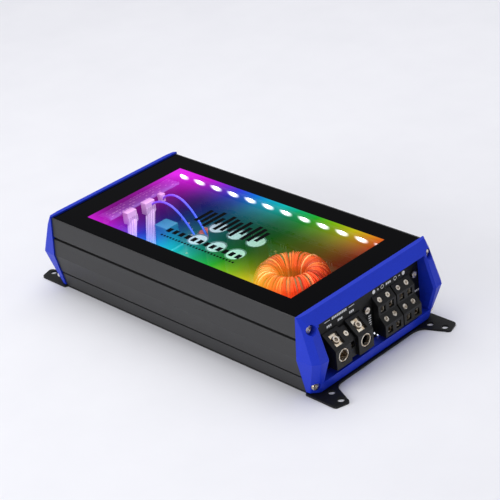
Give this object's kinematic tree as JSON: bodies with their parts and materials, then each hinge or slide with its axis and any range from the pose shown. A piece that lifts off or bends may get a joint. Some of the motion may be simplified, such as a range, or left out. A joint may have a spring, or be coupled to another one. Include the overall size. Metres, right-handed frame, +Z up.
{
  "type": "car audio amplifier",
  "caption": "Flat car audio amplifier with finned black side rails, a clear lit top window, faceted end frames, screw terminals and a signal panel.",
  "frame": {"origin": "centre of the base plate's underside, which is what the amplifier rests on", "axes": "+X out of the terminal end, +Y towards the side that carries the light strip, +Z up out of the window"},
  "size_m": [0.2978, 0.1304, 0.0592],
  "materials": {
    "black_anodised_rail": "black anodised, fine satin",
    "black_steel_plate": "black powder coat, satin",
    "clear_top_sheet": "clear acrylic with a black printed border, polished",
    "blue_anodised_frame": "blue anodised, satin",
    "black_panel_sheet": "black paint, satin",
    "nickel_screw": "nickel plated",
    "terminal_plastic": "black moulded plastic",
    "nickel_brass": "nickel plated brass",
    "control_grey": "dark grey moulded plastic",
    "switch_white": "white moulded plastic",
    "circuit_board": "green solder mask",
    "copper_winding": "enamelled copper wire",
    "capacitor_sleeve": "sleeved can",
    "teal_tape": "tape-wrapped ferrite core",
    "strip_white": "white solder mask"
  },
  "bodies": {
    "chassis": {"side_rail_left": "black_anodised_rail", "side_rail_right": "black_anodised_rail", "base_plate": "black_steel_plate", "top_panel": "clear_top_sheet", "output_end_frame": "blue_anodised_frame", "input_end_frame": "blue_anodised_frame", "output_panel": "black_panel_sheet", "input_panel": "black_panel_sheet", "output_frame_screw_upper_left": "nickel_screw", "output_frame_screw_upper_right": "nickel_screw", "output_frame_screw_lower_left": "nickel_screw", "output_frame_screw_lower_right": "nickel_screw", "input_frame_screw_upper_left": "nickel_screw", "input_frame_screw_upper_right": "nickel_screw", "input_frame_screw_lower_left": "nickel_screw", "input_frame_screw_lower_right": "nickel_screw", "output_panel_screw_centre": "nickel_screw", "output_panel_screw_right": "nickel_screw", "ground_terminal_housing": "terminal_plastic", "ground_clamp_block": "nickel_brass", "supply_terminal_housing": "terminal_plastic", "supply_clamp_block": "nickel_brass", "remote_terminal_housing": "terminal_plastic", "speaker_terminal_housing_left": "terminal_plastic", "speaker_terminal_housing_right": "terminal_plastic", "phono_jack_pair_1": "terminal_plastic", "phono_jack_pair_2": "terminal_plastic", "main_board": "circuit_board", "control_board": "circuit_board", "output_toroid": "copper_winding", "input_toroid": "copper_winding", "capacitor_1": "capacitor_sleeve", "capacitor_2": "capacitor_sleeve", "capacitor_3": "capacitor_sleeve", "capacitor_4": "capacitor_sleeve", "capacitor_5": "capacitor_sleeve", "capacitor_6": "capacitor_sleeve", "transformer": "teal_tape", "light_strip": "strip_white", "transistor_clamp_left": "black_steel_plate", "transistor_clamp_right": "black_steel_plate"},
    "ground_pressure_pad": {"ground_pressure_pad": "nickel_brass"},
    "ground_clamp_screw": {"ground_clamp_screw": "nickel_screw"},
    "supply_pressure_pad": {"supply_pressure_pad": "nickel_brass"},
    "supply_clamp_screw": {"supply_clamp_screw": "nickel_screw"},
    "remote_terminal_screw": {"remote_terminal_screw": "nickel_screw"},
    "speaker_screw_upper_1": {"speaker_screw_upper_1": "nickel_screw"},
    "speaker_screw_upper_2": {"speaker_screw_upper_2": "nickel_screw"},
    "speaker_screw_upper_3": {"speaker_screw_upper_3": "nickel_screw"},
    "speaker_screw_upper_4": {"speaker_screw_upper_4": "nickel_screw"},
    "speaker_screw_lower_1": {"speaker_screw_lower_1": "nickel_screw"},
    "speaker_screw_lower_2": {"speaker_screw_lower_2": "nickel_screw"},
    "speaker_screw_lower_3": {"speaker_screw_lower_3": "nickel_screw"},
    "speaker_screw_lower_4": {"speaker_screw_lower_4": "nickel_screw"},
    "front_gain_control": {"front_gain_control": "control_grey"},
    "rear_gain_control": {"rear_gain_control": "control_grey"},
    "front_crossover_control": {"front_crossover_control": "control_grey"},
    "rear_crossover_control": {"rear_crossover_control": "control_grey"},
    "front_filter_switch": {"front_filter_switch": "switch_white"},
    "rear_filter_switch": {"rear_filter_switch": "switch_white"}
  },
  "joints": [
    {"name": "ground_pad_slide", "type": "slide", "parent": "chassis", "child": "ground_pressure_pad", "axis": [-0.6298, 0, -0.7768], "range_m": [0, 0.005]},
    {"name": "ground_clamp_screw_turn", "type": "hinge", "parent": "ground_pressure_pad", "child": "ground_clamp_screw", "pos_m": [0.12845, -0.0364, 0.0331], "axis": [-0.6298, 0, -0.7768], "range_deg": [0, 2255]},
    {"name": "supply_pad_slide", "type": "slide", "parent": "chassis", "child": "supply_pressure_pad", "axis": [-0.6298, 0, -0.7768], "range_m": [0, 0.005]},
    {"name": "supply_clamp_screw_turn", "type": "hinge", "parent": "supply_pressure_pad", "child": "supply_clamp_screw", "pos_m": [0.12845, -0.0149, 0.0331], "axis": [-0.6298, 0, -0.7768], "range_deg": [0, 2255]},
    {"name": "remote_terminal_screw_travel", "type": "slide", "parent": "chassis", "child": "remote_terminal_screw", "axis": [-0.6357, 0, -0.7719], "range_m": [0, 0.0033]},
    {"name": "speaker_screw_upper_1_travel", "type": "slide", "parent": "chassis", "child": "speaker_screw_upper_1", "axis": [-0.7333, 0, -0.6799], "range_m": [0, 0.0033]},
    {"name": "speaker_screw_upper_2_travel", "type": "slide", "parent": "chassis", "child": "speaker_screw_upper_2", "axis": [-0.7333, 0, -0.6799], "range_m": [0, 0.0033]},
    {"name": "speaker_screw_upper_3_travel", "type": "slide", "parent": "chassis", "child": "speaker_screw_upper_3", "axis": [-0.7333, 0, -0.6799], "range_m": [0, 0.0033]},
    {"name": "speaker_screw_upper_4_travel", "type": "slide", "parent": "chassis", "child": "speaker_screw_upper_4", "axis": [-0.7333, 0, -0.6799], "range_m": [0, 0.0033]},
    {"name": "speaker_screw_lower_1_travel", "type": "slide", "parent": "chassis", "child": "speaker_screw_lower_1", "axis": [-0.7619, 0, -0.6476], "range_m": [0, 0.0033]},
    {"name": "speaker_screw_lower_2_travel", "type": "slide", "parent": "chassis", "child": "speaker_screw_lower_2", "axis": [-0.7619, 0, -0.6476], "range_m": [0, 0.0033]},
    {"name": "speaker_screw_lower_3_travel", "type": "slide", "parent": "chassis", "child": "speaker_screw_lower_3", "axis": [-0.7619, 0, -0.6476], "range_m": [0, 0.0033]},
    {"name": "speaker_screw_lower_4_travel", "type": "slide", "parent": "chassis", "child": "speaker_screw_lower_4", "axis": [-0.7619, 0, -0.6476], "range_m": [0, 0.0033]},
    {"name": "front_gain_control_turn", "type": "hinge", "parent": "chassis", "child": "front_gain_control", "pos_m": [-0.1227, -0.002, 0.037], "axis": [-1, 0, 0], "range_deg": [-150, 150]},
    {"name": "rear_gain_control_turn", "type": "hinge", "parent": "chassis", "child": "rear_gain_control", "pos_m": [-0.1227, -0.017, 0.037], "axis": [-1, 0, 0], "range_deg": [-150, 150]},
    {"name": "front_crossover_control_turn", "type": "hinge", "parent": "chassis", "child": "front_crossover_control", "pos_m": [-0.1227, -0.002, 0.0215], "axis": [-1, 0, 0], "range_deg": [-150, 150]},
    {"name": "rear_crossover_control_turn", "type": "hinge", "parent": "chassis", "child": "rear_crossover_control", "pos_m": [-0.1227, -0.017, 0.0215], "axis": [-1, 0, 0], "range_deg": [-150, 150]},
    {"name": "front_filter_switch_travel", "type": "slide", "parent": "chassis", "child": "front_filter_switch", "axis": [0, -1, 0], "range_m": [0, 0.004]},
    {"name": "rear_filter_switch_travel", "type": "slide", "parent": "chassis", "child": "rear_filter_switch", "axis": [0, -1, 0], "range_m": [0, 0.004]}
  ],
  "couplings": [
    {"joint": "ground_clamp_screw_turn", "follows": "ground_pad_slide", "rad_per_m": 7854},
    {"joint": "supply_clamp_screw_turn", "follows": "supply_pad_slide", "rad_per_m": 7854}
  ]
}
